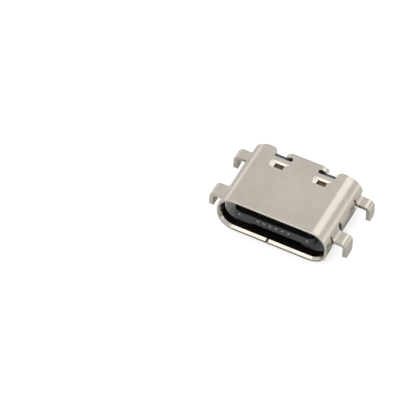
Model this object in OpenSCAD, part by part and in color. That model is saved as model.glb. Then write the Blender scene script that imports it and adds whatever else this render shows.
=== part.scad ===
// Board socket with a flat rounded mouth, sunk into a cut-out of its circuit board.
// Origin: centre of the mouth opening, in the plane of the rim.
// The mouth faces -Y, the solder tails point to +Y and +Z is up. The board's top face is z = 0.

/* [Shell] */
// Outside width of the sleeve
shell_w = 8.94; // [8.7:0.02:9.4]
// Outside height of the sleeve
shell_h = 3.16; // [3.06:0.02:3.4]
// Thickness of the sheet metal
sheet_t = 0.3; // [0.25:0.01:0.32]
// Inside radius of the sleeve's four corners
bore_r = 1.08; // [0.9:0.02:1.15]
// Length of the sleeve from the rim to the rear edge of its ears
shell_l = 6.25; // [6.2:0.05:6.6]
// Depth of the chamfer round the inside of the rim
lead_in = 0.22; // [0.1:0.02:0.3]

/* [Board legs] */
// Width across the outer faces of the legs
legs_w = 11.2; // [10.9:0.1:12]
// Width of each front leg along the sleeve
front_leg_w = 1.15; // [0.9:0.05:1.3]
// Width of each rear leg along the sleeve
rear_leg_w = 0.9; // [0.7:0.05:1]
// Distance from the rim to the front edge of the front legs
front_leg_y = 1.05; // [0.95:0.05:1.2]
// Distance from the rim to the front edge of the rear legs
rear_leg_y = 5.05; // [4.95:0.05:5.15]
// How far the leg tips reach below the board's top face
leg_drop = 1.25; // [0.9:0.05:1.4]
// Inside radius of the bends in the legs
leg_bend_r = 0.2; // [0.1:0.01:0.25]

/* [Windows, flap and seam] */
// Length of each retaining window across the socket
window_w = 0.7; // [0.5:0.05:0.9]
// Width of each retaining window along the socket
window_l = 0.43; // [0.3:0.02:0.5]
// Distance of the windows' centres from the middle of the socket
window_x = 1.74; // [1.6:0.02:1.85]
// Distance of the windows' centres from the rim
window_y = 4.69; // [4.6:0.01:4.75]
// Width of the neck of the rear flap
flap_neck_w = 2.1; // [1.8:0.05:2.3]
// Width across the wings of the rear flap
flap_w = 3.5; // [3.5:0.05:4]
// Gap left along the seam where the two edges of the sheet meet
seam_gap = 0.04; // [0.03:0.01:0.06]

/* [Tongue] */
// Width of the tongue
tongue_w = 6.69; // [6.4:0.01:6.8]
// Thickness of the tongue
tongue_t = 0.7; // [0.66:0.01:0.74]
// Distance from the rim back to the front face of the tongue
tongue_y = 0.3; // [0.2:0.05:0.5]

/* [Contacts] */
// Distance between neighbouring contact positions
contact_pitch = 0.5; // [0.49:0.01:0.51]
// Width of each contact strip on the tongue
contact_w = 0.25; // [0.22:0.01:0.28]
// Thickness of the contact strip
contact_t = 0.12; // [0.1:0.01:0.14]
// Distance from the rim to the rear end of the solder tails
tail_end_y = 6.6; // [6.4:0.05:6.9]

/* [Hidden] */
$fn = 64;
// length added to a cutter so that it passes clean through a face
pass = 1;
// smaller overlap for cutters that must not reach a neighbouring wall
nick = 0.1;

// --- sleeve ---
bore_w = shell_w - 2 * sheet_t;
bore_h = shell_h - 2 * sheet_t;
outer_r = bore_r + sheet_t;
// rise of the rim's chamfer into the sheet
lead_rise = 0.12;
// x and z of the centre of the upper right corner's arcs
corner_x = bore_w / 2 - bore_r;
corner_z = bore_h / 2 - bore_r;

// --- legs: their tabs lie on the board, so their underside is z = 0 ---
fold_z = sheet_t + leg_bend_r;
fold_x = corner_x + sqrt(pow(outer_r + leg_bend_r, 2) - pow(fold_z - corner_z, 2));
// angle on the corner arc at which the wall leaves the arc and folds outward
fold_a = asin((fold_z - corner_z) / (outer_r + leg_bend_r));
// the root joins fold and wall: its reach along the arc to each side, and its depth under both faces
root_a = 7;
root_inset = 0.08;
drop_x = legs_w / 2 - sheet_t - leg_bend_r;
leg_tip_r = 0.3;
// relief slits beside the roots of the legs
slit_w = 0.2;
wide_slit_w = 0.4;
slit_top_z = 0.8;

// --- openings left in the lower half by the legs ---
front_opening_x = 2;
front_opening_y0 = front_leg_y - slit_w;
front_opening_y1 = front_leg_y + front_leg_w + wide_slit_w;
rear_opening_x = 3.6;
rear_opening_y0 = rear_leg_y - slit_w;

// --- rear edge of the sleeve ---
notch_y = 5.43;
notch_x = 2.47;
notch_slot_r = 0.19;
ear_r = 0.4;
// the flap's wings curl down behind the housing: outside radius and angle of the bend
wing_r = 0.65;
wing_a = 58;
wing_bend_x = flap_w / 2 - wing_r * sin(wing_a);
wing_bend_z = shell_h / 2 - wing_r;
wing_y0 = notch_y + 2 * notch_slot_r;
wing_tip_z = wing_bend_z + (wing_r - sheet_t) * cos(wing_a);
bottom_l = 5.75;
bottom_mid_w = 3.8;
bottom_step_w = 0.6;
bottom_step_l = 0.38;

// --- coined windows and the lances bent in from them ---
coin_margin = 0.22;
coin_depth = 0.12;
lance_t = 0.1;
lance_a = 28;
lance_gap = 0.03;

// --- seam along the middle of the underside ---
seam_x = -0.33;
key_reach = 0.88;
key_flare = 0.14;
key_l = 1.05;
key_ys = [0.6, 2.95];

// --- tongue and its plate ---
tongue_z = tongue_t / 2;
tongue_corner = 0.7;
plate_z = 0.075;
plate_y0 = tongue_y + 0.9;
plate_y1 = 4.9;
plate_shoulder_w = 7.6;
latch_y = 2.1;
latch_l = 0.9;
latch_d = 0.35;

// --- rear block and the inserts buried in it ---
block_y0 = 4.25;
// where the plate's shoulders and the heads of the inserts start, inside the block
shoulder_y0 = block_y0 + nick;
block_y1 = 5.93;
block_side_gap = 0.02;
block_r = bore_r + 0.04;
step_y0 = 3.85;
step_w = 7;
step_h = 1.3;
insert_w = 6;
insert_y0 = tongue_y + 0.8;
head_w = 7.2;
head_y1 = 4.96;
head_h = 0.75;

// --- contacts ---
blade_z = tongue_z - contact_t;
blade_y0 = tongue_y + 0.35;
finger_w = 0.16;
jog_y0 = 4.4;
jog_y1 = 4.85;
upper_drop_y = 5;
lower_rise_y = 5.35;
tail_w = 0.3;
groove_z = -0.85;
// each contact's place on the tongue, in pitches, and the x of its tail; two tails on one pad touch
pair_half = tail_w / 2;
outer_pad_x = 3.2;
inner_pad_x = 2.4;
upper_row = [
    [-5.5, -outer_pad_x - pair_half], [-2.5, -inner_pad_x - pair_half],
    [-1.5, -2.5 * contact_pitch], [-0.5, -0.5 * contact_pitch],
    [0.5, 0.5 * contact_pitch], [1.5, 2.5 * contact_pitch],
    [2.5, inner_pad_x + pair_half], [5.5, outer_pad_x + pair_half]];
lower_row = [
    [5.5, outer_pad_x - pair_half], [2.5, inner_pad_x - pair_half],
    [1.5, 3.5 * contact_pitch], [0.5, 1.5 * contact_pitch],
    [-0.5, -1.5 * contact_pitch], [-1.5, -3.5 * contact_pitch],
    [-2.5, -inner_pad_x + pair_half], [-5.5, -outer_pad_x + pair_half]];

// Extrudes a flat profile drawn in x and z along y, from y0 to y1.
module along_y(y0, y1) {
    translate([0, y1, 0]) rotate([90, 0, 0]) linear_extrude(y1 - y0) children();
}

// Extrudes a flat profile drawn in y and z along x, from x0 to x1.
module along_x(x0, x1) {
    translate([x0, 0, 0]) rotate([90, 0, 90]) linear_extrude(x1 - x0) children();
}

// Extrudes a flat plan drawn in x and y upward from z0 to z1.
module upward(z0, z1) {
    translate([0, 0, z0]) linear_extrude(z1 - z0) children();
}

// Repeats its children on the +X and -X sides.
module both_sides() {
    children();
    mirror([1, 0, 0]) children();
}

// A box given by its two opposite corners.
module box(a, b) {
    translate(a) cube([b[0] - a[0], b[1] - a[1], b[2] - a[2]]);
}

// A rectangle with round corners, centred on the origin.
module rounded_plate(w, h, r) {
    square([w - 2 * r, h], center = true);
    square([w, h - 2 * r], center = true);
    for (sx = [-1, 1], sz = [-1, 1])
        translate([sx * (w / 2 - r), sz * (h / 2 - r)]) circle(r);
}

// What lies outside a bend of radius r in the quadrant of +x and +y, as a cutter.
module outside_of_bend(r) {
    difference() {
        square(2 * r);
        circle(r);
    }
}

// The web that rounds the inside of a bend of radius r in the quadrant of +x and +y.
module inside_of_bend(r) {
    difference() {
        square(r + nick / 2);
        circle(r);
    }
}

// --- shell ---

// The plain sleeve, with its bore.
module sleeve() {
    along_y(0, shell_l) difference() {
        rounded_plate(shell_w, shell_h, outer_r);
        rounded_plate(bore_w, bore_h, bore_r);
    }
}

// The chamfer round the inside of the rim, as a cutter.
module lead_in_cut() {
    rise = lead_rise * (lead_in + nick) / lead_in;
    for (sx = [-1, 1], sz = [-1, 1])
        translate([sx * corner_x, -nick, sz * corner_z]) rotate([-90, 0, 0])
            cylinder(h = lead_in + nick, r1 = bore_r + rise, r2 = bore_r);
    along_x(-corner_x, corner_x)
        polygon([[-nick, -bore_h / 2 - rise], [lead_in, -bore_h / 2],
                 [lead_in, bore_h / 2], [-nick, bore_h / 2 + rise]]);
    upward(-corner_z, corner_z)
        polygon([[-bore_w / 2 - rise, -nick], [bore_w / 2 + rise, -nick],
                 [bore_w / 2, lead_in], [-bore_w / 2, lead_in]]);
}

// One leg's section in x and z: root inside the wall, fold, tab on the board, bend and drop.
module leg_section() {
    outside = leg_bend_r + sheet_t;
    foot_x = legs_w / 2 - sheet_t;
    translate([corner_x, corner_z]) intersection() {
        difference() {
            circle(outer_r - root_inset);
            circle(bore_r + root_inset);
        }
        polygon([
            [0, 0], [outer_r, outer_r * tan(fold_a - root_a)],
            [outer_r, outer_r * tan(fold_a + root_a)]]);
    }
    difference() {
        polygon([
            [fold_x, fold_z], [fold_x - outside, fold_z - outside * tan(fold_a)],
            [fold_x - outside, 0], [foot_x, 0], [foot_x, -leg_drop],
            [legs_w / 2, -leg_drop], [legs_w / 2, sheet_t], [fold_x, sheet_t]]);
        translate([fold_x, fold_z]) {
            circle(leg_bend_r);
            mirror([1, 1]) outside_of_bend(outside);
        }
        translate([drop_x, -leg_bend_r]) outside_of_bend(outside);
    }
    translate([drop_x, -leg_bend_r]) inside_of_bend(leg_bend_r);
}

// Rounds off the corner of a leg's tip that lies at y, toward the inside of the leg.
module tip_corner_cut(y, inward) {
    translate([drop_x, y, -leg_drop]) rotate([90, 0, 90]) linear_extrude(pass)
        scale([inward, 1]) difference() {
            translate([-pass, -pass]) square(pass + leg_tip_r);
            translate([leg_tip_r, leg_tip_r]) circle(leg_tip_r);
        }
}

// One leg on the +X side, from y0 to y1.
module leg(y0, y1) {
    difference() {
        along_y(y0, y1) leg_section();
        tip_corner_cut(y0, 1);
        tip_corner_cut(y1, -1);
    }
}

// What a leg's blank leaves open in the lower wall on the +X side, as a cutter.
module leg_opening(x0, y0, y1) {
    along_y(y0, y1) polygon([
        [x0, -shell_h], [shell_w, -shell_h],
        [shell_w, corner_z + (shell_w - corner_x) * tan(fold_a)],
        [corner_x, corner_z], [x0, -corner_z]]);
}

// A relief slit in the +X wall with a round top, as a cutter.
module slit(y0, y1) {
    r = (y1 - y0) / 2;
    top = slit_top_z - r;
    box([corner_x, y0, 0], [shell_w, y1, top]);
    translate([corner_x, y0 + r, top]) rotate([0, 90, 0]) cylinder(h = shell_w, r = r);
}

// The plan of the upper plate's rear notch on the +X side: a slot beside the flap's neck that
// opens into the gap between wing and ear.
module rear_notch_plan() {
    slot_x = flap_neck_w / 2 + notch_slot_r;
    translate([slot_x, notch_y + notch_slot_r]) circle(notch_slot_r);
    translate([slot_x, notch_y]) square([notch_x - slot_x, 2 * notch_slot_r]);
    translate([wing_bend_x, wing_y0 - nick]) square([notch_x - wing_bend_x, shell_l]);
    // round inner corner of the ear
    difference() {
        translate([notch_x - nick, shell_l - ear_r]) square([ear_r + nick, ear_r + pass]);
        translate([notch_x + ear_r, shell_l - ear_r]) circle(ear_r);
    }
}

// A wing of the flap on the +X side, curled down behind the housing.
module wing() {
    along_y(wing_y0, shell_l) difference() {
        polygon([
            [flap_neck_w / 2, bore_h / 2], [flap_neck_w / 2, shell_h / 2],
            [wing_bend_x + wing_r, shell_h / 2], [wing_bend_x + wing_r, wing_bend_z + wing_r / tan(wing_a)],
            [wing_bend_x, wing_bend_z], [wing_bend_x, bore_h / 2]]);
        translate([wing_bend_x, wing_bend_z]) {
            circle(wing_r - sheet_t);
            outside_of_bend(wing_r);
        }
    }
}

// Window in the upper plate on the +X side with its coined pocket, as a cutter.
module window_cut() {
    half_l = window_l / 2;
    slope_l = coin_margin * 0.8;
    top = shell_h / 2;
    translate([window_x, window_y, 0]) {
        box([-window_w / 2, -half_l, bore_h / 2 - nick], [window_w / 2, half_l, top + nick]);
        along_x(-window_w / 2 - coin_margin, window_w / 2 + coin_margin)
            polygon([[-half_l, top + nick], [-half_l, top - coin_depth], [half_l, top - coin_depth],
                     [half_l + slope_l, top], [half_l + slope_l, top + nick]]);
    }
}

// Spring lance on the +X side, bent inward from the rear edge of its window.
module lance() {
    translate([window_x, window_y + window_l / 2, bore_h / 2 + lance_t]) rotate([lance_a, 0, 0])
        translate([lance_gap - window_w / 2, lance_gap - window_l, -lance_t])
            cube([window_w - 2 * lance_gap, window_l + lance_gap, lance_t]);
}

// A straight run of the seam from point a to point b, as a cutter.
module seam_run(a, b) {
    d = b - a;
    translate([a[0], a[1], -shell_h / 2 - nick]) rotate([0, 0, atan2(d[1], d[0])])
        translate([-seam_gap / 2, -seam_gap / 2, 0])
            cube([norm(d) + seam_gap, seam_gap, sheet_t + 2 * nick]);
}

// The corners of one dovetail key that starts at y.
function seam_key(y) = [
    [seam_x, y], [seam_x + key_reach, y - key_flare],
    [seam_x + key_reach, y + key_l + key_flare], [seam_x, y + key_l]];
seam_path = concat(
    [[seam_x, -nick]], seam_key(key_ys[0]), seam_key(key_ys[1]), [[seam_x, bottom_l + nick]]);

module seam_cut() {
    for (i = [0 : len(seam_path) - 2]) seam_run(seam_path[i], seam_path[i + 1]);
}

// What is trimmed off behind the lower plate: its middle reaches further back than its corners.
module bottom_rear_cut() {
    side_l = bottom_l - bottom_step_l;
    half = bottom_mid_w / 2;
    upward(-shell_h, -corner_z) polygon([
        [-shell_w, side_l], [-half - bottom_step_w, side_l], [-half, bottom_l], [half, bottom_l],
        [half + bottom_step_w, side_l], [shell_w, side_l],
        [shell_w, 2 * shell_l], [-shell_w, 2 * shell_l]]);
}

module shell() {
    color("silver") {
        difference() {
            sleeve();
            lead_in_cut();
            both_sides() {
                leg_opening(front_opening_x, front_opening_y0, front_opening_y1);
                leg_opening(rear_opening_x, rear_opening_y0, shell_l + pass);
                slit(front_opening_y0, front_leg_y);
                slit(front_leg_y + front_leg_w, front_opening_y1);
                slit(rear_opening_y0, rear_leg_y);
                upward(corner_z, shell_h) rear_notch_plan();
                window_cut();
                mirror([0, 0, 1]) window_cut();
            }
            seam_cut();
            bottom_rear_cut();
        }
        both_sides() {
            leg(front_leg_y, front_leg_y + front_leg_w);
            leg(rear_leg_y, rear_leg_y + rear_leg_w);
            wing();
            lance();
            mirror([0, 0, 1]) lance();
        }
    }
}

// --- contacts ---

// A flat strip that runs from x0 at y0 to x1 at y1, and keeps its width across x.
module jog(x0, y0, w0, x1, y1, w1) {
    polygon([[x0 - w0 / 2, y0], [x0 + w0 / 2, y0], [x1 + w1 / 2, y1], [x1 - w1 / 2, y1]]);
}

// The flat part of a contact, from the tongue's face to above or below its tail.
module blade(xb, xt, y1) {
    translate([xb - contact_w / 2, blade_y0]) square([contact_w, jog_y0 - blade_y0]);
    jog(xb, jog_y0, contact_w, xt, jog_y1, tail_w);
    translate([xt - tail_w / 2, jog_y1]) square([tail_w, y1 - jog_y1]);
}

// Upper contact: blade on the tongue, end that shows in the tongue's front face, drop and tail.
module upper_contact(i) {
    xb = upper_row[i][0] * contact_pitch;
    xt = upper_row[i][1];
    color("gold") {
        upward(blade_z, tongue_z) blade(xb, xt, upper_drop_y + contact_t);
        box([xb - finger_w / 2, blade_y0, 0], [xb + finger_w / 2, blade_y0 + contact_t, tongue_z]);
        box([xb - finger_w / 2, tongue_y, 0], [xb + finger_w / 2, blade_y0 + contact_t, contact_t]);
        box([xt - tail_w / 2, upper_drop_y, 0], [xt + tail_w / 2, upper_drop_y + contact_t, tongue_z]);
        box([xt - tail_w / 2, upper_drop_y, 0], [xt + tail_w / 2, tail_end_y, contact_t]);
    }
}

// Lower contact: blade under the tongue, rise behind the insert and tail.
module lower_contact(i) {
    xb = lower_row[i][0] * contact_pitch;
    xt = lower_row[i][1];
    color("gold") {
        upward(-tongue_z, -blade_z) blade(xb, xt, lower_rise_y + contact_t);
        box([xt - tail_w / 2, lower_rise_y, -tongue_z],
            [xt + tail_w / 2, lower_rise_y + contact_t, contact_t]);
        box([xt - tail_w / 2, lower_rise_y, 0], [xt + tail_w / 2, tail_end_y, contact_t]);
    }
}

module contact_a1() upper_contact(0);
module contact_a4() upper_contact(1);
module contact_a5() upper_contact(2);
module contact_a6() upper_contact(3);
module contact_a7() upper_contact(4);
module contact_a8() upper_contact(5);
module contact_a9() upper_contact(6);
module contact_a12() upper_contact(7);
module contact_b1() lower_contact(0);
module contact_b4() lower_contact(1);
module contact_b5() lower_contact(2);
module contact_b6() lower_contact(3);
module contact_b7() lower_contact(4);
module contact_b8() lower_contact(5);
module contact_b9() lower_contact(6);
module contact_b12() lower_contact(7);

module upper_contacts() {
    for (i = [0 : len(upper_row) - 1]) upper_contact(i);
}

module lower_contacts() {
    for (i = [0 : len(lower_row) - 1]) lower_contact(i);
}

// --- plate, inserts and housing ---

module mid_plate() {
    color("lightsteelblue") upward(-plate_z, plate_z) difference() {
        union() {
            translate([-tongue_w / 2, plate_y0]) square([tongue_w, plate_y1 - plate_y0]);
            translate([-plate_shoulder_w / 2, shoulder_y0])
                square([plate_shoulder_w, plate_y1 - shoulder_y0]);
        }
        latch_notches();
    }
}

// The notches in the tongue's sides that a plug's latches drop into, as a plan.
module latch_notches() {
    both_sides() translate([tongue_w / 2 - latch_d, latch_y]) square([latch_d + pass, latch_l]);
}

// The carrier of one contact row, above the plate.
module insert_body() {
    box([-insert_w / 2, insert_y0, plate_z], [insert_w / 2, shoulder_y0, blade_z]);
    box([-head_w / 2, shoulder_y0, plate_z], [head_w / 2, head_y1, head_h]);
}

module upper_insert() {
    color("dimgray") difference() {
        insert_body();
        upper_contacts();
    }
}

module lower_insert() {
    color("dimgray") difference() {
        mirror([0, 0, 1]) insert_body();
        lower_contacts();
    }
}

// The tongue's plan, with its blunted front corners and its latch notches.
module tongue_plan() {
    half = tongue_w / 2;
    difference() {
        union() {
            translate([-half, tongue_y + tongue_corner])
                square([tongue_w, block_y0 - tongue_y - tongue_corner]);
            translate([-half + tongue_corner, tongue_y])
                square([tongue_w - 2 * tongue_corner, tongue_corner]);
            both_sides() translate([half - tongue_corner, tongue_y + tongue_corner])
                circle(tongue_corner);
        }
        latch_notches();
    }
}

// The rear block that closes the sleeve behind the tongue.
module rear_block() {
    along_y(block_y0, block_y1) rounded_plate(bore_w - 2 * block_side_gap, bore_h, block_r);
    along_y(step_y0, block_y0) rounded_plate(step_w, step_h, tongue_z);
}

// Room for a lance and for what is pressed through its window, as a cutter on the +X side.
module lance_pocket() {
    deep = window_l + lance_t;
    translate([window_x, window_y, 0])
        box([-window_w / 2, -window_l / 2 - lance_gap, bore_h / 2 - deep * sin(lance_a) - nick],
            [window_w / 2, window_l / 2 + 2 * lance_gap, shell_h]);
}

// Hollow in the top of the block that a wing of the flap curls down into, on the +X side.
module wing_hollow() {
    box([flap_neck_w / 2 - nick, notch_y, wing_tip_z - nick],
        [flap_w / 2 + nick / 2, block_y1 + pass, shell_h]);
}

// Grooves in the rear face below the tails, which bare the bends of the lower contacts.
module tail_grooves() {
    for (row = [upper_row, lower_row], c = row)
        box([c[1] - tail_w / 2, lower_rise_y + contact_t, groove_z],
            [c[1] + tail_w / 2, block_y1 + pass, 0]);
}

module housing() {
    color("darkslategray") difference() {
        union() {
            upward(-tongue_z, tongue_z) tongue_plan();
            rear_block();
        }
        upper_contacts();
        lower_contacts();
        mid_plate();
        insert_body();
        mirror([0, 0, 1]) insert_body();
        both_sides() {
            lance_pocket();
            mirror([0, 0, 1]) lance_pocket();
            wing_hollow();
        }
        tail_grooves();
    }
}

shell();
housing();
upper_insert();
lower_insert();
mid_plate();
contact_a1();
contact_a4();
contact_a5();
contact_a6();
contact_a7();
contact_a8();
contact_a9();
contact_a12();
contact_b1();
contact_b4();
contact_b5();
contact_b6();
contact_b7();
contact_b8();
contact_b9();
contact_b12();
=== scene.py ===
"""Looks of a board socket with a flat rounded mouth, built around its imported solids.

The folded sheet-metal sleeve is modelled from its flat blank: the blank is outlined, filled,
given its thickness, rounded along its sheared edges, coined and then folded. Lengths inside
the classes are millimetres unless they are marked as metres, and meshes are scaled to metres
when they become objects.
"""

import logging
import math
from dataclasses import dataclass, field
from enum import Enum
from typing import Callable, Iterable, Sequence

import bmesh
import bpy
from mathutils import Matrix, Vector


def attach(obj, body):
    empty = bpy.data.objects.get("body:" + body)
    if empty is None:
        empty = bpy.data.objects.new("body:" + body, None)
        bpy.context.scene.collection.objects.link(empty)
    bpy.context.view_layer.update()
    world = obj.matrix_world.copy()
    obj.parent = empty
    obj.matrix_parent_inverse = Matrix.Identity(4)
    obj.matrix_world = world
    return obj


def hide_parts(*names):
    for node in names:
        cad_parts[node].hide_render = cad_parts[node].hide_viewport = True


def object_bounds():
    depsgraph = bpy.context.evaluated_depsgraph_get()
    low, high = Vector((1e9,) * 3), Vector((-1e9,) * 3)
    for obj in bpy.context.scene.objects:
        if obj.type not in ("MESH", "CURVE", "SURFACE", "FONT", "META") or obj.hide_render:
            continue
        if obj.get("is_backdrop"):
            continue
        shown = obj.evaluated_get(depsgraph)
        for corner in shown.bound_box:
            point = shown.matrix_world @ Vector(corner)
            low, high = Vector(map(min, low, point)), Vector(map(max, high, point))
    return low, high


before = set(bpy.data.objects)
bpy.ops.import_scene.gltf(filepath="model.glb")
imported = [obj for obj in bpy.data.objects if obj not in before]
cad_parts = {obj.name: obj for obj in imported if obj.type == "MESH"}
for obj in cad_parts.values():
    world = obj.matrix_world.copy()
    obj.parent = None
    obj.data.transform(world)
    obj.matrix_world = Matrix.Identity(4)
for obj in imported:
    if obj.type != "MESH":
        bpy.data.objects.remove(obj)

LOG = logging.getLogger("socket")
MM = 0.001
WELD = 1e-4
CUT_WELD = 1e-5
# face angle from which an edge counts as sheared, in radians
SHARP = 0.9
SMOOTH_ANGLE = math.radians(38)
# share of a slot's half width that rounds its end without its two arcs meeting
FULL_ROUND = 0.98
# range that holds nearly all of a noise pattern's values
NOISE_RANGE = (0.3, 0.7)
# sockets of the Mix node in its colour mode
MIX_FACTOR, MIX_FIRST, MIX_SECOND, MIX_RESULT = 0, 6, 7, 2
ROOT = "root"

Corner = tuple[float, float, float]
Frame2 = tuple[Vector, Vector, Vector]


class Zone(Enum):
    """Which fold path a face of the blank follows, kept as its material index while folding."""

    SLEEVE = 0
    LEG = 1


class Side(Enum):
    """The two sides of the socket, as the sign of x."""

    RIGHT = 1
    LEFT = -1


class Sum(Enum):
    """How two values of a finish are joined."""

    ADD = "ADD"
    SUBTRACT = "SUBTRACT"
    MULTIPLY = "MULTIPLY"
    GREATER = "MAXIMUM"


# --- finishes ---


class NodeKit:
    """Short-hand for building one node material."""

    def __init__(self, name: str) -> None:
        """Starts a material with a Principled shader.

        Args:
            name: Name of the material.
        """
        self.material = bpy.data.materials.new(name)
        self.material.use_nodes = True
        self.tree = self.material.node_tree
        self.shader = next(n for n in self.tree.nodes if n.type == "BSDF_PRINCIPLED")

    def node(self, kind: str, **values: object) -> bpy.types.Node:
        """Adds a node and sets its properties or input sockets.

        Args:
            kind: Blender's name of the node type.
            **values: Properties by name, or inputs by their label with spaces as underscores.

        Returns:
            The new node.
        """
        node = self.tree.nodes.new(kind)
        for key, value in values.items():
            if hasattr(node, key):
                setattr(node, key, value)
            else:
                node.inputs[key.replace("_", " ")].default_value = value
        return node

    def link(self, source: bpy.types.NodeSocket, target: bpy.types.NodeSocket) -> None:
        """Joins two sockets."""
        self.tree.links.new(source, target)

    def coordinates(self, scale: Sequence[float]) -> bpy.types.NodeSocket:
        """Gives object coordinates stretched to the grain of a finish.

        Args:
            scale: Pattern cells per metre along x, y and z.

        Returns:
            The socket that carries the coordinates.
        """
        place = self.node("ShaderNodeTexCoord")
        mapping = self.node("ShaderNodeMapping")
        mapping.inputs["Scale"].default_value = scale
        self.link(place.outputs["Object"], mapping.inputs["Vector"])
        return mapping.outputs["Vector"]

    def noise(self, scale: Sequence[float], detail: float = 4.0) -> bpy.types.NodeSocket:
        """Gives a noise value between 0 and 1.

        Args:
            scale: Pattern cells per metre along x, y and z.
            detail: Number of octaves.

        Returns:
            The socket that carries the value.
        """
        noise = self.node("ShaderNodeTexNoise", Scale=1.0, Detail=detail, Roughness=0.6)
        self.link(self.coordinates(scale), noise.inputs["Vector"])
        return noise.outputs["Fac"]

    def ramp(
        self, value: bpy.types.NodeSocket, stops: Sequence[tuple[float, Sequence[float]]]
    ) -> bpy.types.NodeSocket:
        """Maps a value to a colour.

        Args:
            value: Socket with the value.
            stops: Places and their RGB colours.

        Returns:
            The colour socket.
        """
        ramp = self.node("ShaderNodeValToRGB")
        elements = ramp.color_ramp.elements
        while len(elements) < len(stops):
            elements.new(0.5)
        for element, (place, colour) in zip(elements, stops):
            element.position = place
            element.color = (*colour, 1.0)
        self.link(value, ramp.inputs["Fac"])
        return ramp.outputs["Color"]

    def span(
        self, value: bpy.types.NodeSocket, low: float, high: float
    ) -> bpy.types.NodeSocket:
        """Maps a noise value onto a range of roughness.

        Args:
            value: Socket with a value between 0 and 1.
            low: Result at the low end of the noise.
            high: Result at its high end.

        Returns:
            The socket with the result.
        """
        start, end = NOISE_RANGE
        node = self.node(
            "ShaderNodeMapRange", From_Min=start, From_Max=end, To_Min=low, To_Max=high
        )
        self.link(value, node.inputs["Value"])
        return node.outputs["Result"]

    def fade(
        self, value: bpy.types.NodeSocket, start: float, end: float
    ) -> bpy.types.NodeSocket:
        """Rises from 0 to 1 between two values.

        Args:
            value: Socket with the value.
            start: Value up to which the result is 0.
            end: Value from which the result is 1.

        Returns:
            The socket with the result.
        """
        node = self.node("ShaderNodeMapRange", From_Min=start, From_Max=end)
        self.link(value, node.inputs["Value"])
        return node.outputs["Result"]

    def combine(
        self, how: Sum, first: bpy.types.NodeSocket, second: bpy.types.NodeSocket | float
    ) -> bpy.types.NodeSocket:
        """Joins two values into one.

        Args:
            how: The sum that is worked out.
            first: Socket with the first value.
            second: Socket with the second value, or the value itself.

        Returns:
            The socket with the result.
        """
        node = self.node("ShaderNodeMath", operation=how.value)
        self.link(first, node.inputs[0])
        if isinstance(second, float):
            node.inputs[1].default_value = second
        else:
            self.link(second, node.inputs[1])
        return node.outputs["Value"]

    def axis(self, coordinates: str, name: str) -> bpy.types.NodeSocket:
        """Gives one axis of a set of coordinates.

        Args:
            coordinates: The set, either Object or Normal.
            name: The axis.

        Returns:
            The socket with the value.
        """
        place = self.node("ShaderNodeTexCoord")
        split = self.node("ShaderNodeSeparateXYZ")
        self.link(place.outputs[coordinates], split.inputs["Vector"])
        return split.outputs[name]

    def blend(
        self, share: bpy.types.NodeSocket, first: bpy.types.NodeSocket,
        second: bpy.types.NodeSocket | Sequence[float],
    ) -> bpy.types.NodeSocket:
        """Blends two colours.

        Args:
            share: Socket with the share of the second colour.
            first: Socket with the first colour.
            second: Socket with the second colour, or its RGB values.

        Returns:
            The colour socket.
        """
        mix = self.node("ShaderNodeMix", data_type="RGBA")
        self.link(share, mix.inputs[MIX_FACTOR])
        self.link(first, mix.inputs[MIX_FIRST])
        if isinstance(second, bpy.types.NodeSocket):
            self.link(second, mix.inputs[MIX_SECOND])
        else:
            mix.inputs[MIX_SECOND].default_value = (*second, 1.0)
        return mix.outputs[MIX_RESULT]

    def bump(self, height: bpy.types.NodeSocket, depth: float, strength: float) -> None:
        """Gives the shader a bump.

        Args:
            height: Socket with the height.
            depth: Height of the bump in metres.
            strength: Share of the bump that shows.
        """
        bump = self.node("ShaderNodeBump", Strength=strength, Distance=depth)
        self.link(height, bump.inputs["Height"])
        self.link(bump.outputs["Normal"], self.shader.inputs["Normal"])


@dataclass(frozen=True)
class PlatedSteel:
    """Satin nickel plating over rolled sheet, with faint mottling and rolling grain."""

    name: str = "satin_nickel"
    colour: tuple[float, float, float] = (0.8, 0.745, 0.665)
    shade: float = 0.95
    roughness: tuple[float, float] = (0.16, 0.28)
    light: float = 1.05
    grain: tuple[float, float, float] = (2600.0, 5200.0, 2600.0)
    grain_detail: float = 5.0
    grain_relief: tuple[float, float] = (4e-6, 0.2)
    mottle: tuple[float, float, float] = (420.0, 420.0, 420.0)
    mottle_detail: float = 3.0
    mottle_stops: tuple[float, float, float] = (0.35, 0.5, 0.68)

    def material(self) -> bpy.types.Material:
        """Builds the plating.

        Returns:
            The node material.
        """
        kit = NodeKit(self.name)
        dark = tuple(c * self.shade for c in self.colour)
        light = tuple(min(1.0, c * self.light) for c in self.colour)
        mottle = kit.noise(self.mottle, self.mottle_detail)
        colours = (dark, self.colour, light)
        colour = kit.ramp(mottle, list(zip(self.mottle_stops, colours)))
        kit.link(colour, kit.shader.inputs["Base Color"])
        kit.shader.inputs["Metallic"].default_value = 1.0
        grain = kit.noise(self.grain, self.grain_detail)
        kit.link(kit.span(grain, *self.roughness), kit.shader.inputs["Roughness"])
        kit.bump(grain, *self.grain_relief)
        return kit.material


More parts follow.
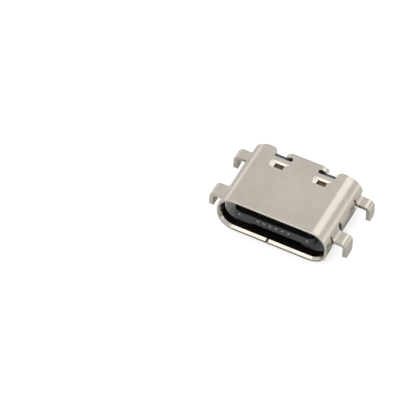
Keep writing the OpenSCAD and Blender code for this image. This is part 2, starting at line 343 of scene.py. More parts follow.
@dataclass(frozen=True)
class MouldedPlastic:
    """Black glass-filled moulding, painted paler on its faces toward the mouth and on its top,
    as painted light.
    """

    name: str = "black_moulding"
    colour: tuple[float, float, float] = (0.008, 0.008, 0.009)
    mouth_side_light: tuple[float, float, float] = (0.058, 0.063, 0.07)
    painted_top_light: tuple[float, float, float] = (0.13, 0.14, 0.155)
    # heights in metres between which the moulding's top turns pale, painted light
    painted_top_light_z: tuple[float, float] = (0.0012, 0.00126)
    roughness: tuple[float, float] = (0.42, 0.62)
    cloud: tuple[float, float, float] = (700.0, 700.0, 700.0)
    cloud_detail: float = 3.0
    mouth_side_light_stops: tuple[float, float] = (0.75, 1.0)
    texture: tuple[float, float, float] = (9000.0, 9000.0, 9000.0)
    relief: tuple[float, float] = (5e-6, 0.3)

    def material(self) -> bpy.types.Material:
        """Builds the moulding's finish.

        Returns:
            The node material.
        """
        kit = NodeKit(self.name)
        cloud = kit.noise(self.cloud, self.cloud_detail)
        # faces toward the mouth are painted paler, painted light on the lit side; the cloud
        # noise mottles where it starts
        toward_mouth = kit.combine(Sum.SUBTRACT, cloud, kit.axis("Normal", "Y"))
        colours = (self.colour, self.mouth_side_light)
        colour = kit.ramp(toward_mouth, list(zip(self.mouth_side_light_stops, colours)))
        # the top of the moulding is painted paler, painted light
        high = kit.fade(kit.axis("Object", "Z"), *self.painted_top_light_z)
        kit.link(kit.blend(high, colour, self.painted_top_light), kit.shader.inputs["Base Color"])
        fine = kit.noise(self.texture)
        kit.link(kit.span(fine, *self.roughness), kit.shader.inputs["Roughness"])
        kit.bump(fine, *self.relief)
        return kit.material


@dataclass(frozen=True)
class PlatedBrass:
    """Thin gold flash over copper alloy, drawn along the contact."""

    name: str = "gold_flash"
    colour: tuple[float, float, float] = (0.9, 0.76, 0.5)
    pale: tuple[float, float, float] = (0.93, 0.87, 0.72)
    roughness: tuple[float, float] = (0.22, 0.4)
    streak: tuple[float, float, float] = (9000.0, 900.0, 9000.0)
    streak_stops: tuple[float, float] = (0.38, 0.66)
    relief: tuple[float, float] = (3e-6, 0.25)

    def material(self) -> bpy.types.Material:
        """Builds the gold finish.

        Returns:
            The node material.
        """
        kit = NodeKit(self.name)
        streak = kit.noise(self.streak)
        colour = kit.ramp(streak, list(zip(self.streak_stops, (self.colour, self.pale))))
        kit.link(colour, kit.shader.inputs["Base Color"])
        kit.shader.inputs["Metallic"].default_value = 1.0
        kit.link(kit.span(streak, *self.roughness), kit.shader.inputs["Roughness"])
        kit.bump(streak, *self.relief)
        return kit.material


@dataclass(frozen=True)
class StudioFloor:
    """Pale floor that shows white to the camera, with a painted shadow under and beside the
    socket.
    """

    name: str = "pale_floor"
    colour: tuple[float, float, float] = (0.78, 0.78, 0.78)
    shade: float = 0.985
    cloud: tuple[float, float, float] = (20.0, 20.0, 20.0)
    cloud_detail: float = 2.0
    roughness: float = 0.9
    # painted shadow under the socket, and a paler painted shadow toward its left side
    shaded: tuple[float, float, float] = (0.3, 0.29, 0.28)
    half_shaded: tuple[float, float, float] = (0.55, 0.545, 0.54)
    # places across in metres, from the paler painted shadow on the left side to the darkest
    # painted shadow in the middle
    paler_x: tuple[float, float] = (-0.0046, -0.0034)
    whiteness: float = 0.75
    white_from: tuple[float, float] = (0.97, 1.03)
    pale_from: tuple[float, float] = (1.0, 1.4)
    half_depth: float = 3.1
    # sides of the painted shadow: direction x and y, and distance from the origin
    edges: tuple[tuple[float, float, float], ...] = (
        (1.0, 0.0, 4.05), (-1.0, 0.0, 5.1), (-1.0, -0.4, 3.9), (0.0, -1.0, -0.05),
        (0.0, 1.0, 6.2), (0.54, -1.0, 1.62), (-0.54, -1.0, 1.62),
    )

    def material(self) -> bpy.types.Material:
        """Builds the floor's finish.

        Returns:
            The node material.
        """
        kit = NodeKit(self.name)
        low = tuple(c * self.shade for c in self.colour)
        cloud = kit.noise(self.cloud, self.cloud_detail)
        pale = kit.ramp(cloud, list(zip(NOISE_RANGE, (low, self.colour))))
        kit.shader.inputs["Roughness"].default_value = self.roughness
        kit.shader.inputs["Specular IOR Level"].default_value = 0.0
        away = self.distance(kit)
        # the painted shadow under the socket fades out into the pale floor
        base = kit.blend(kit.fade(away, *self.pale_from), self.footprint(kit), pale)
        kit.link(base, kit.shader.inputs["Base Color"])
        camera_ray = kit.node("ShaderNodeLightPath").outputs["Is Camera Ray"]
        clear = kit.combine(Sum.MULTIPLY, kit.fade(away, *self.white_from), camera_ray)
        glow = kit.combine(Sum.MULTIPLY, clear, self.whiteness)
        kit.shader.inputs["Emission Color"].default_value = (1.0, 1.0, 1.0, 1.0)
        kit.link(glow, kit.shader.inputs["Emission Strength"])
        self.open_from_below(kit)
        return kit.material

    def open_from_below(self, kit: NodeKit) -> None:
        """Makes the floor's underside transparent.

        Args:
            kit: Kit of the floor's material, whose shader is finished.
        """
        behind = kit.node("ShaderNodeNewGeometry").outputs["Backfacing"]
        either = kit.node("ShaderNodeMixShader")
        kit.link(behind, either.inputs[0])
        kit.link(kit.shader.outputs[0], either.inputs[1])
        kit.link(kit.node("ShaderNodeBsdfTransparent").outputs[0], either.inputs[2])
        output = next(n for n in kit.tree.nodes if n.type == "OUTPUT_MATERIAL")
        kit.link(either.outputs[0], output.inputs["Surface"])

    def footprint(self, kit: NodeKit) -> bpy.types.NodeSocket:
        """Gives the painted shadow under the socket, which is paler toward its left side."""
        across = kit.fade(kit.axis("Object", "X"), *self.paler_x)
        return kit.ramp(across, [(0.0, self.half_shaded), (1.0, self.shaded)])

    def distance(self, kit: NodeKit) -> bpy.types.NodeSocket:
        """Gives how far a place lies from the middle of the footprint, 1 at its edges.

        Args:
            kit: Kit of the floor's material.

        Returns:
            The socket with the distance.
        """
        place = kit.node("ShaderNodeTexCoord")
        furthest = None
        for x, y, bound in self.edges:
            dot = kit.node("ShaderNodeVectorMath", operation="DOT_PRODUCT")
            dot.inputs[1].default_value = [c / self.half_depth / MM for c in (x, y, 0.0)]
            kit.link(place.outputs["Object"], dot.inputs[0])
            away = kit.combine(Sum.ADD, dot.outputs["Value"], 1.0 - bound / self.half_depth)
            furthest = away if furthest is None else kit.combine(Sum.GREATER, furthest, away)
        return furthest


# --- mesh helpers ---


def to_object(
    name: str,
    bm: bmesh.types.BMesh,
    materials: Sequence[bpy.types.Material],
    normals: Sequence[Vector] = (),
) -> bpy.types.Object:
    """Turns a bmesh in millimetres into an object in metres at the origin.

    Args:
        name: Name of the piece.
        bm: The mesh, which is freed.
        materials: Its materials, in the order of the faces' material indices.
        normals: One normal for each face corner, or none for smooth shading by angle.

    Returns:
        The new object, linked to the scene.
    """
    bmesh.ops.scale(bm, vec=(MM, MM, MM), verts=bm.verts)
    mesh = bpy.data.meshes.new(name)
    bm.to_mesh(mesh)
    bm.free()
    for material in materials:
        mesh.materials.append(material)
    mesh.polygons.foreach_set("use_smooth", [True] * len(mesh.polygons))
    if normals:
        mesh.normals_split_custom_set([tuple(n) for n in normals])
    else:
        mesh.set_sharp_from_angle(angle=SMOOTH_ANGLE)
    mesh.update()
    piece = bpy.data.objects.new(name, mesh)
    bpy.context.scene.collection.objects.link(piece)
    LOG.info("%s: %d faces", name, len(mesh.polygons))
    return piece


def finish_piece(piece: bpy.types.Object, nodes: Iterable[str]) -> None:
    """Hangs a piece under the root body and hides the CAD nodes that it stands for.

    Args:
        piece: The finished object.
        nodes: CAD nodes that it stands for.
    """
    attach(piece, ROOT)
    names = list(nodes)
    if names:
        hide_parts(*names)


def round_edges(
    bm: bmesh.types.BMesh, edges: Sequence[bmesh.types.BMEdge], radius: float, segments: int = 4
) -> None:
    """Rounds edges with a bevel.

    Args:
        bm: The mesh.
        edges: Edges to round.
        radius: Width of the rounding.
        segments: Number of facets across it.
    """
    bmesh.ops.bevel(
        bm, geom=list(edges), offset=radius, offset_type="OFFSET", affect="EDGES",
        segments=segments, profile=0.5, material=-1, clamp_overlap=True,
    )


def sheared_edges(bm: bmesh.types.BMesh) -> list[bmesh.types.BMEdge]:
    """Gives the edges where two faces meet sharply."""
    return [e for e in bm.edges if e.is_manifold and e.calc_face_angle() > SHARP]


def in_zone(zone: Zone) -> Callable[[bmesh.types.BMFace], bool]:
    """Gives a test for the blank's faces that follow a fold path."""
    return lambda face: face.material_index == zone.value


@dataclass
class Blank:
    """Flat sheet-metal blank: x runs round the fold, y along the socket, z out of the sheet."""

    thickness: float
    sliver: float = 1e-6
    level: float = 0.9999
    bm: bmesh.types.BMesh = field(default_factory=bmesh.new)
    loops: list[bmesh.types.BMEdge] = field(default_factory=list)

    def outline(self, corners: Sequence[Corner], segments: int = 6) -> list[bmesh.types.BMEdge]:
        """Draws a closed outline whose corners are rounded.

        Args:
            corners: Places x and y of the corners, each with its radius.
            segments: Facets across each rounded corner.

        Returns:
            The edges of the outline.
        """
        before = set(self.bm.edges)
        verts = [self.bm.verts.new((x, y, 0.0)) for x, y, _ in corners]
        face = self.bm.faces.new(verts)
        for i, vert in enumerate(verts):
            radius = corners[i][2]
            if radius <= 0.0:
                continue
            here = Vector(corners[i][:2])
            back = (Vector(corners[i - 1][:2]) - here).normalized()
            ahead = (Vector(corners[(i + 1) % len(corners)][:2]) - here).normalized()
            half = back.angle(ahead) / 2
            bmesh.ops.bevel(
                self.bm, geom=[vert], offset=radius / math.tan(half), offset_type="OFFSET",
                affect="VERTICES", segments=segments, profile=0.5, material=-1,
                clamp_overlap=False,
            )
        edges = [e for e in self.bm.edges if e not in before]
        faces = {f for e in edges for f in e.link_faces}
        bmesh.ops.delete(self.bm, geom=list(faces), context="FACES_ONLY")
        self.loops += edges
        return edges

    def patch(self, corners: Sequence[Corner], zone: Zone) -> None:
        """Adds a strip of the blank that folds along its own path.

        Args:
            corners: Its outline, which shares the edge at its root with the rest.
            zone: The path that it follows.
        """
        edges = self.outline(corners)
        self.loops = [e for e in self.loops if e not in edges]
        made = bmesh.ops.triangle_fill(self.bm, use_beauty=True, edges=edges, normal=(0, 0, 1))
        for item in made["geom"]:
            if isinstance(item, bmesh.types.BMFace):
                item.material_index = zone.value

    def fill(self) -> None:
        """Fills the blank between its outlines and welds the strips to it."""
        bmesh.ops.triangle_fill(
            self.bm, use_beauty=True, edges=self.loops, normal=(0.0, 0.0, 1.0)
        )
        bmesh.ops.remove_doubles(self.bm, verts=self.bm.verts, dist=WELD)

    def thicken(self) -> None:
        """Gives the blank its thickness, below its outer face at z = 0."""
        bmesh.ops.recalc_face_normals(self.bm, faces=self.bm.faces)
        if sum(f.normal.z for f in self.bm.faces) < 0:
            bmesh.ops.reverse_faces(self.bm, faces=self.bm.faces)
        bmesh.ops.solidify(self.bm, geom=self.bm.faces[:], thickness=self.thickness)
        top = max(v.co.z for v in self.bm.verts)
        bmesh.ops.translate(self.bm, verts=self.bm.verts, vec=(0.0, 0.0, -top))
        bmesh.ops.recalc_face_normals(self.bm, faces=self.bm.faces)

    def cut(
        self, place: float, along: Vector, faces: Callable[[bmesh.types.BMFace], bool]
    ) -> None:
        """Cuts a line across the blank where it will bend.

        Args:
            place: Distance of the line from the origin.
            along: Direction in which the distance is measured.
            faces: Tells which faces are cut.
        """
        chosen = [f for f in self.bm.faces if faces(f)]
        geom = list({v for f in chosen for v in f.verts})
        geom += list({e for f in chosen for e in f.edges}) + chosen
        bmesh.ops.bisect_plane(
            self.bm, geom=geom, dist=CUT_WELD, plane_co=along * place, plane_no=along
        )

    def corner_normals(self, spread: float = 0.45) -> list[Vector]:
        """Works out the shading normal of each face corner of the flat blank.

        Args:
            spread: Largest angle between faces that are shaded as one, in radians.

        Returns:
            One normal for each face corner, in face order.
        """
        areas = {f: f.calc_area() for f in self.bm.faces}
        normals = []
        for face in self.bm.faces:
            if areas[face] >= self.sliver and abs(face.normal.z) > self.level:
                normals += [face.normal.copy() for _ in face.loops]
                continue
            for loop in face.loops:
                around = loop.vert.link_faces
                facing = face.normal
                if areas[face] < self.sliver:
                    facing = max(around, key=areas.__getitem__).normal
                total = Vector()
                for other in around:
                    if areas[other] >= self.sliver and facing.angle(other.normal) < spread:
                        total = total + other.normal * areas[other]
                normals.append(total.normalized() if total.length > 0 else facing)
        return normals


# --- sleeve ---


@dataclass
class Sleeve:
    """The folded sheet-metal sleeve with its legs, flap, keyed seam and coined windows."""

    width: float = 8.94
    height: float = 3.16
    sheet: float = 0.3
    outer_r: float = 1.38
    length: float = 6.25
    lead_in: float = 0.22
    lead_rise: float = 0.12
    rim_r: float = 0.05
    edge_r: float = 0.035
    bend_cuts: int = 22
    leg_cuts: int = 12
    wing_cuts: int = 11
    bore_facing: float = -0.9
    legs_w: float = 11.2
    leg_drop: float = 1.25
    leg_bend_r: float = 0.2
    leg_tip_r: float = 0.32
    front_leg: tuple[float, float] = (1.05, 2.2)
    rear_leg: tuple[float, float] = (5.05, 5.95)
    slit_w: float = 0.2
    wide_slit_w: float = 0.4
    slit_top_z: float = 0.8
    front_opening_x: float = 2.0
    front_opening_r: float = 0.12
    front_opening_facets: int = 8
    rear_opening_x: float = 3.6
    rear_opening_r: float = 0.1
    notch_y: float = 5.43
    notch_x: float = 2.47
    notch_r: float = 0.08
    slot_r: float = 0.19
    ear_r: float = 0.4
    ear_side_r: float = 0.15
    neck_x: float = 1.05
    wing_r: float = 0.65
    wing_angle: float = math.radians(58)
    flap_x: float = 1.75
    flap_front_r: float = 0.1
    flap_rear_r: float = 0.24
    flap_margin: float = 0.1
    bottom_l: float = 5.75
    bottom_r: float = 0.12
    bottom_mid_x: float = 1.9
    bottom_step: tuple[float, float] = (0.6, 0.38)
    window: tuple[float, float] = (0.72, 0.52)
    window_at: tuple[float, float] = (1.74, 4.665)
    window_r: tuple[float, float] = (0.04, 0.06)
    pocket_r: tuple[float, float] = (0.06, 0.11)
    coin_margin: float = 0.38
    coin_rear: float = 0.12
    coin_depth: float = 0.12
    coin_lip: float = 0.03
    coin_reach: float = 1.2
    seam_x: float = -0.33
    seam_gap: float = 0.04
    seam_rim_r: float = 0.09
    key_reach: float = 0.88
    key_flare: float = 0.14
    key_l: float = 1.05
    key_root_r: float = 0.03
    key_tip_r: float = 0.06
    key_ys: tuple[float, float] = (0.6, 2.95)

    def __post_init__(self) -> None:
        """Derives the places of the folds."""
        self.flat_x = self.width / 2 - self.outer_r
        self.corner_z = self.height / 2 - self.outer_r
        self.arc = self.outer_r * math.pi / 2
        self.half_turn = 2 * self.flat_x + 2 * self.corner_z + 2 * self.arc
        self.fold_z = self.sheet + self.leg_bend_r
        reach = self.outer_r + self.leg_bend_r
        self.fold_a = math.asin((self.fold_z - self.corner_z) / reach)
        self.fold_s = self.flat_x + self.outer_r * (math.pi / 2 - self.fold_a)
        self.fold_x = self.flat_x + reach * math.cos(self.fold_a)
        self.drop_x = self.legs_w / 2 - self.sheet - self.leg_bend_r
        self.fold_arc = self.leg_bend_r * (math.pi / 2 - self.fold_a)
        self.tab_l = self.drop_x - self.fold_x
        self.foot_arc = (self.leg_bend_r + self.sheet) * math.pi / 2
        self.foot_l = self.leg_drop - self.leg_bend_r
        self.wing_x = self.flap_x - self.wing_r * math.sin(self.wing_angle)
        self.wing_y0 = self.notch_y + 2 * self.slot_r
        slit_a = math.asin((self.slit_top_z - self.corner_z) / self.outer_r)
        self.slit_s = self.flat_x + self.outer_r * (math.pi / 2 - slit_a)

    # Paths: each gives the point on the outer face, the direction of travel and the outward
    # normal.

    def sleeve_path(self, s: float) -> Frame2:
        """Follows the sleeve from the middle of its upper face.

        Args:
            s: Distance along the outer face, to +X where positive.

        Returns:
            The point, the tangent and the outward normal.
        """
        side = 1.0 if s >= 0 else -1.0
        run = abs(s)
        a, r, cz, q = self.flat_x, self.outer_r, self.corner_z, self.arc
        if run <= a:
            point, turn = (run, cz + r), 0.0
        elif run <= a + q:
            turn = (run - a) / r
            point = (a + r * math.sin(turn), cz + r * math.cos(turn))
        elif run <= a + q + 2 * cz:
            turn = math.pi / 2
            point = (a + r, cz - (run - a - q))
        elif run <= a + 2 * q + 2 * cz:
            turn = (run - a - 2 * cz) / r
            point = (a + r * math.sin(turn), -cz + r * math.cos(turn))
        else:
            turn = math.pi
            point = (a - (run - a - 2 * q - 2 * cz), -cz - r)
        return self.frame2(point, turn, side)

    @staticmethod
    def frame2(point: tuple[float, float], turn: float, side: float) -> Frame2:
        """Turns a place on the right-hand side into vectors on either side.

        Args:
            point: x and z on the right-hand side.
            turn: Angle of the outward normal from +Z toward +X.
            side: Sign of x.

        Returns:
            The point, the tangent and the outward normal.
        """
        place = Vector((side * point[0], 0.0, point[1]))
        tangent = Vector((math.cos(turn), 0.0, -side * math.sin(turn)))
        normal = Vector((side * math.sin(turn), 0.0, math.cos(turn)))
        return place, tangent, normal

    def leg_path(self, s: float) -> Frame2:
        """Follows a leg from its root: fold, tab, foot bend and foot.

        Args:
            s: Distance along the outer face, to +X where positive.

        Returns:
            The point, the tangent and the outward normal.
        """
        side = 1.0 if s >= 0 else -1.0
        run = abs(s) - self.fold_s
        if run <= 0:
            return self.sleeve_path(s)
        start = math.pi / 2 - self.fold_a
        foot_r = self.leg_bend_r + self.sheet
        if run <= self.fold_arc:
            turn = start - run / self.leg_bend_r
            point = (
                self.fold_x - self.leg_bend_r * math.sin(turn),
                self.fold_z - self.leg_bend_r * math.cos(turn),
            )
        elif run <= self.fold_arc + self.tab_l:
            turn = 0.0
            point = (self.fold_x + run - self.fold_arc, self.sheet)
        elif run <= self.fold_arc + self.tab_l + self.foot_arc:
            turn = (run - self.fold_arc - self.tab_l) / foot_r
            point = (
                self.drop_x + foot_r * math.sin(turn),
                -self.leg_bend_r + foot_r * math.cos(turn),
            )
        else:
            turn = math.pi / 2
            past = run - self.fold_arc - self.tab_l - self.foot_arc
            point = (self.drop_x + foot_r, -self.leg_bend_r - past)
        return self.frame2(point, turn, side)

    def wing_path(self, s: float) -> Frame2:
        """Follows a wing of the flap, curled down from the upper face.

        Args:
            s: Distance along the outer face, to +X where positive.

        Returns:
            The point, the tangent and the outward normal.
        """
        side = 1.0 if s >= 0 else -1.0
        turn = (abs(s) - self.wing_x) / self.wing_r
        point = (
            self.wing_x + self.wing_r * math.sin(turn),
            self.height / 2 - self.wing_r + self.wing_r * math.cos(turn),
        )
        return self.frame2(point, turn, side)

    # outlines

    def leg_end(self) -> float:
        """Gives where a leg's blank ends, as a distance along the outer face."""
        return self.fold_s + self.fold_arc + self.tab_l + self.foot_arc + self.foot_l

    def flap_end(self) -> float:
        """Gives the half width of the flap's blank."""
        return self.wing_x + self.wing_r * self.wing_angle

    def seam(self, side: Side) -> list[Corner]:
        """Gives the seam edge of one side from front to rear.

        Args:
            side: RIGHT for the half with the key's sockets, LEFT for the half with the keys.

        Returns:
            The corners of the edge.
        """
        shift = side.value * self.seam_gap / 2
        root_r, tip_r = self.key_root_r, self.key_tip_r
        points = [(self.seam_x + shift, 0.0, self.seam_rim_r)]
        for y in self.key_ys:
            tip = self.seam_x + self.key_reach + shift
            points += [
                (self.seam_x + shift, y - shift, root_r),
                (tip, y - self.key_flare - shift, tip_r),
                (tip, y + self.key_l + self.key_flare + shift, tip_r),
                (self.seam_x + shift, y + self.key_l + shift, root_r),
            ]
        points.append((self.seam_x + shift, self.bottom_l, 0.0))
        if side is Side.RIGHT:
            return [(self.half_turn - x, y, r) for x, y, r in points]
        return [(-(self.half_turn + x), y, r) for x, y, r in points]

    def rear_quarter(self) -> list[Corner]:
        """Gives the rear edge on the +X side, from the lower plate's middle to the flap's.

        Returns:
            The corners of the edge.
        """
        turn, sheet_rear = self.half_turn, self.bottom_l - self.bottom_step[1]
        step_x = self.bottom_mid_x + self.bottom_step[0]
        y0, y1 = self.rear_leg
        slit_r = self.slit_w / 2 * FULL_ROUND
        slot_r = self.slot_r * FULL_ROUND
        flap = self.flap_end()
        return [
            (turn - self.bottom_mid_x, self.bottom_l, self.bottom_r),
            (turn - step_x, sheet_rear, self.bottom_r),
            (turn - self.rear_opening_x, sheet_rear, self.rear_opening_r),
            (turn - self.rear_opening_x, y0 - self.slit_w, self.rear_opening_r),
            (self.slit_s, y0 - self.slit_w, slit_r),
            (self.slit_s, y0, slit_r),
            (self.fold_s, y0, 0.0),
            (self.fold_s, y1, 0.0),
            (self.fold_s, self.length, self.ear_side_r),
            (self.notch_x, self.length, self.ear_r),
            (self.notch_x, self.notch_y, self.notch_r),
            (self.neck_x, self.notch_y, slot_r),
            (self.neck_x, self.wing_y0, slot_r),
            (flap, self.wing_y0, self.flap_front_r),
            (flap, self.length, self.flap_rear_r),
        ]

    def opening(self, side: Side) -> list[Corner]:
        """Gives the outline of what a front leg leaves open in the lower wall.

        Args:
            side: Side of the socket.

        Returns:
            The corners of the outline.
        """
        y0, y1 = self.front_leg
        r0, r1 = self.slit_w / 2 * FULL_ROUND, self.wide_slit_w / 2 * FULL_ROUND
        inner = self.half_turn - self.front_opening_x
        points = [
            (inner, y0 - self.slit_w, self.front_opening_r),
            (self.slit_s, y0 - self.slit_w, r0), (self.slit_s, y0, r0),
            (self.fold_s, y0, 0.0), (self.fold_s, y1, 0.0),
            (self.slit_s, y1, r1), (self.slit_s, y1 + self.wide_slit_w, r1),
            (inner, y1 + self.wide_slit_w, self.front_opening_r),
        ]
        return [(side.value * s, y, r) for s, y, r in points]

    def window_loops(self, at: float) -> tuple[list[Corner], list[Corner]]:
        """Gives a window's outline and that of its coined pocket.

        Args:
            at: Place of the window's middle round the blank.

        Returns:
            The corners of the pocket and of the window.
        """
        half_w, half_l = self.window[0] / 2, self.window[1] / 2
        y, reach = self.window_at[1], half_w + self.coin_margin
        lip, rear = y - half_l + self.coin_lip, y + half_l + self.coin_rear
        front_r, rear_r = self.pocket_r
        pocket = [
            (at - reach, y - half_l, front_r), (at + reach, y - half_l, front_r),
            (at + reach, rear, rear_r), (at - reach, rear, rear_r),
        ]
        front_r, rear_r = self.window_r
        hole = [
            (at - half_w, lip, front_r), (at + half_w, lip, front_r),
            (at + half_w, y + half_l, rear_r), (at - half_w, y + half_l, rear_r),
        ]
        return pocket, hole

    def window_places(self) -> list[float]:
        """Gives the middles of the four windows round the blank."""
        x = self.window_at[0]
        return [x, -x, self.half_turn - x, x - self.half_turn]

    def leg_strip(self, side: Side, span: tuple[float, float]) -> list[Corner]:
        """Gives the outline of one leg's blank.

        Args:
            side: Side of the socket.
            span: Front and rear edge of the leg.

        Returns:
            The corners, with the root edge first.
        """
        end, r = self.leg_end(), self.leg_tip_r
        points = [
            (self.fold_s, span[0], 0.0), (end, span[0], r), (end, span[1], r),
            (self.fold_s, span[1], 0.0),
        ]
        return [(side.value * s, y, radius) for s, y, radius in points]

    # work on the blank

    def coin(self, blank: Blank) -> None:
        """Presses the pockets round the windows into the outer face.

        Args:
            blank: The flat blank with its edges rounded.
        """
        half_w, half_l = self.window[0] / 2, self.window[1] / 2
        reach = self.edge_r * self.coin_reach
        for at in self.window_places():
            for vert in blank.bm.verts:
                side = abs(vert.co.x - at) - half_w
                rear = vert.co.y - self.window_at[1] - half_l
                front = self.window_at[1] - half_l + self.coin_lip - vert.co.y
                if vert.co.z > -self.sheet / 2 and max(side, rear, front) < reach:
                    away = max(side / self.coin_margin, rear / self.coin_rear, 0.0)
                    vert.co.z -= self.coin_depth * (1.0 - away)

    def press_lead_in(self, blank: Blank) -> None:
        """Chamfers the inside of the rim.

        Args:
            blank: The flat blank.
        """
        blank.cut(self.lead_in, Vector((0.0, 1.0, 0.0)), lambda f: True)
        for vert in blank.bm.verts:
            if vert.co.y < WELD and vert.co.z < -self.sheet / 2:
                vert.co.z += self.lead_rise

    def score(self, blank: Blank) -> None:
        """Cuts the blank along the lines of all its bends.

        Args:
            blank: The flat blank.
        """
        across = Vector((1.0, 0.0, 0.0))
        starts = (self.flat_x, self.flat_x + self.arc + 2 * self.corner_z)
        foot_at = self.fold_s + self.fold_arc + self.tab_l
        for side in Side:
            for start in starts:
                for i in range(self.bend_cuts + 1):
                    s = start + self.arc * i / self.bend_cuts
                    blank.cut(side.value * s, across, in_zone(Zone.SLEEVE))
            for start, arc in ((self.fold_s, self.fold_arc), (foot_at, self.foot_arc)):
                for i in range(self.leg_cuts + 1):
                    s = start + arc * i / self.leg_cuts
                    blank.cut(side.value * s, across, in_zone(Zone.LEG))
            for i in range(self.wing_cuts):
                s = self.wing_x + self.wing_r * self.wing_angle * i / self.wing_cuts
                blank.cut(side.value * s, across, self.on_flap)

    def on_flap(self, face: bmesh.types.BMFace) -> bool:
        """Tells whether a face of the blank lies on the flap behind its neck.

        Args:
            face: A face of the flat blank.

        Returns:
            True on the flap.
        """
        centre = face.calc_center_median()
        near = abs(centre.x) < self.notch_x - self.flap_margin
        return near and centre.y > self.notch_y and in_zone(Zone.SLEEVE)(face)

    def fold(self, blank: Blank, normals: list[Vector]) -> list[Vector]:
        """Folds the blank, and turns its shading normals with it.

        Args:
            blank: The flat blank.
            normals: Its shading normals, one for each face corner.

        Returns:
            The normals of the folded sleeve.
        """
        frames = {}
        slot_y = self.notch_y + self.slot_r
        for vert in blank.bm.verts:
            s, y = vert.co.x, vert.co.y
            if all(map(in_zone(Zone.LEG), vert.link_faces)):
                frames[vert] = self.leg_path(s)
            elif self.wing_x < abs(s) < self.notch_x - self.flap_margin and y > slot_y:
                frames[vert] = self.wing_path(s)
            else:
                frames[vert] = self.sleeve_path(s)
        corners = [loop.vert for face in blank.bm.faces for loop in face.loops]
        turned = []
        for vert, normal in zip(corners, normals):
            _, tangent, outward = frames[vert]
            turned.append(tangent * normal.x + Vector((0.0, normal.y, 0.0)) + outward * normal.z)
        for vert, (place, _, outward) in frames.items():
            y = vert.co.y
            vert.co = place + outward * vert.co.z
            vert.co.y = y
        return turned

    def build(
        self, plating: bpy.types.Material, inside: bpy.types.Material
    ) -> bpy.types.Object:
        """Builds the sleeve as one folded sheet.

        Args:
            plating: Finish of the outside, the legs and the sheared edges.
            inside: Dark copy of the plating for the bore behind the rim's chamfer, painted
                shade.

        Returns:
            The finished piece.
        """
        blank = Blank(self.sheet)
        right = self.seam(Side.RIGHT)
        left = self.seam(Side.LEFT)
        rear = self.rear_quarter()
        rear_left = [(-s, y, r) for s, y, r in reversed(rear)]
        blank.outline(right + rear + rear_left + list(reversed(left)))
        for side in Side:
            blank.outline(self.opening(side), self.front_opening_facets)
        rings = []
        for at in self.window_places():
            pocket, hole = self.window_loops(at)
            outer = blank.outline(pocket)
            inner = blank.outline(hole)
            blank.loops = [e for e in blank.loops if e not in inner]
            rings.append(outer + inner)
        for side in Side:
            for span in (self.front_leg, self.rear_leg):
                blank.patch(self.leg_strip(side, span), Zone.LEG)
        blank.fill()
        for ring in rings:
            bmesh.ops.bridge_loops(blank.bm, edges=ring)
        blank.thicken()
        self.press_lead_in(blank)
        rim = [
            e for e in blank.bm.edges
            if all(v.co.y < WELD for v in e.verts)
            and abs(e.verts[0].co.z - e.verts[1].co.z) < WELD
        ]
        round_edges(blank.bm, rim, self.rim_r)
        round_edges(blank.bm, sheared_edges(blank.bm), self.edge_r)
        self.coin(blank)
        self.score(blank)
        blank.bm.normal_update()
        # faces of the bore behind the chamfer get the dark copy of the plating, painted shade
        bore = [
            in_zone(Zone.SLEEVE)(f) and f.normal.z < self.bore_facing
            and f.calc_center_median().y > self.lead_in
            for f in blank.bm.faces
        ]
        normals = self.fold(blank, blank.corner_normals())
        for face, within in zip(blank.bm.faces, bore):
            face.material_index = int(within)
        piece = to_object("sleeve", blank.bm, [plating, inside], normals)
        finish_piece(piece, ["shell"])
        return piece


@dataclass
class Lances:
    """Thin spring lances bent inward from the rear edges of the four windows."""

    width: float = 0.64
    length: float = 0.46
    thickness: float = 0.1
    angle: float = math.radians(28)
    root: Corner = (1.74, 4.905, 1.38)
    edge_r: float = 0.02
    edge_facets: int = 2

    def build(self, finish: bpy.types.Material) -> bpy.types.Object:
        """Builds the lances as one piece.

        Args:
            finish: Their finish.

        Returns:
            The finished piece.
        """
        bm = bmesh.new()
        bmesh.ops.create_cube(bm, size=1.0)
        size = (self.width, self.length, self.thickness)
        bmesh.ops.scale(bm, vec=size, verts=bm.verts)
        bmesh.ops.translate(bm, verts=bm.verts, vec=(0.0, -size[1] / 2, -size[2] / 2))
        round_edges(bm, bm.edges[:], self.edge_r, self.edge_facets)
        turn = Matrix.Rotation(self.angle, 3, "X")
        bmesh.ops.rotate(bm, cent=(0.0, 0.0, 0.0), matrix=turn, verts=bm.verts)
        bmesh.ops.translate(bm, verts=bm.verts, vec=self.root)
        for axis in ("X", "Z"):
            geom = bm.verts[:] + bm.edges[:] + bm.faces[:]
            bmesh.ops.mirror(bm, geom=geom, axis=axis, merge_dist=0.0)
        bmesh.ops.recalc_face_normals(bm, faces=bm.faces)
        piece = to_object("lances", bm, [finish])
        finish_piece(piece, [])
        return piece


